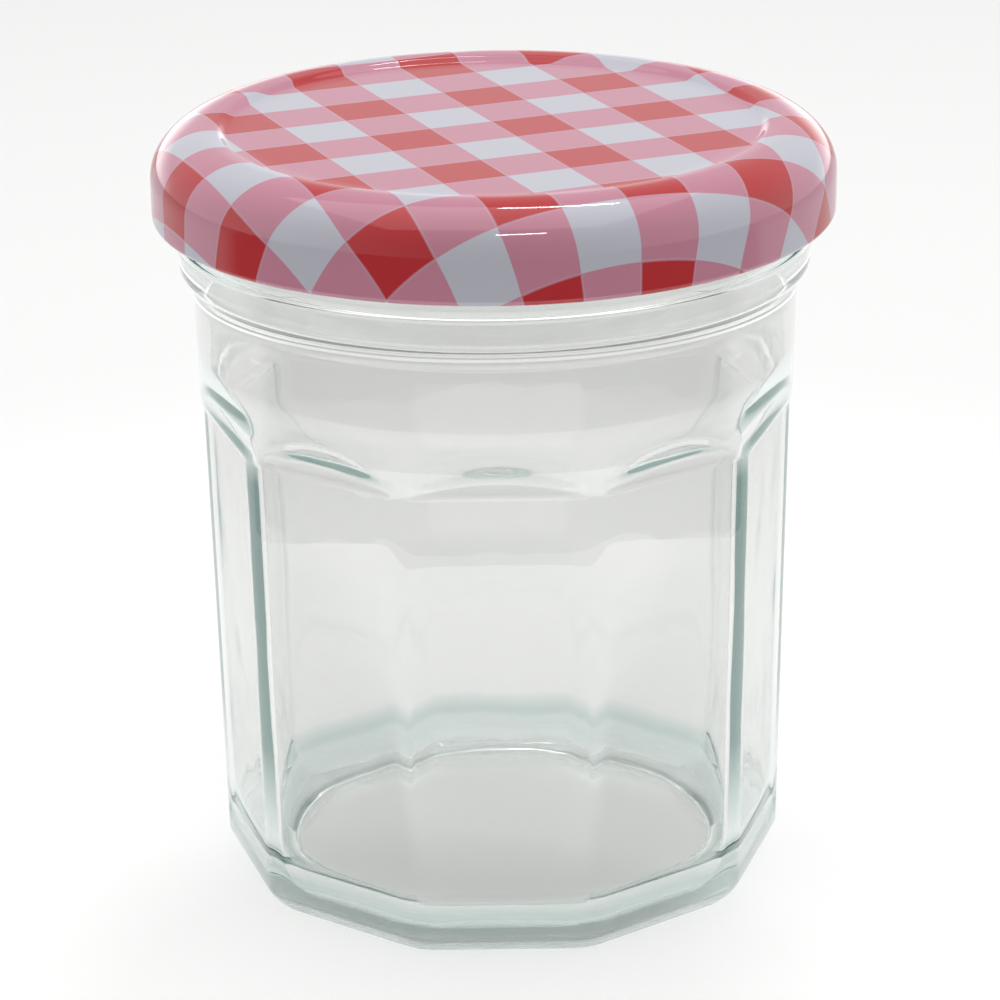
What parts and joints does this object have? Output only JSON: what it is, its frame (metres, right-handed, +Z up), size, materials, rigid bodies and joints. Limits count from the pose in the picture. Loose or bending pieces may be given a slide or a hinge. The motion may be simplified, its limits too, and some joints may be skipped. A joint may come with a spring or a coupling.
{
  "type": "lidded jam jar",
  "caption": "Empty clear pressed-glass jam jar with flat sides under a round band and neck bead, closed by a gingham-printed steel twist-off lid.",
  "frame": {"origin": "middle of the underside, on the surface that the jar stands on", "axes": "+Z up along the jar's axis, one flat side facing -Y, +X to the right of that side"},
  "size_m": [0.0856, 0.0856, 0.0989],
  "materials": {
    "clear_glass": "clear soda-lime glass, faintly green at its edges, smooth and fire-polished",
    "printed_steel": "thin tinplate printed with a red, pink and white gingham under a gloss varnish"
  },
  "bodies": {
    "root": {"jar": "clear_glass", "lid": "printed_steel"}
  },
  "joints": []
}
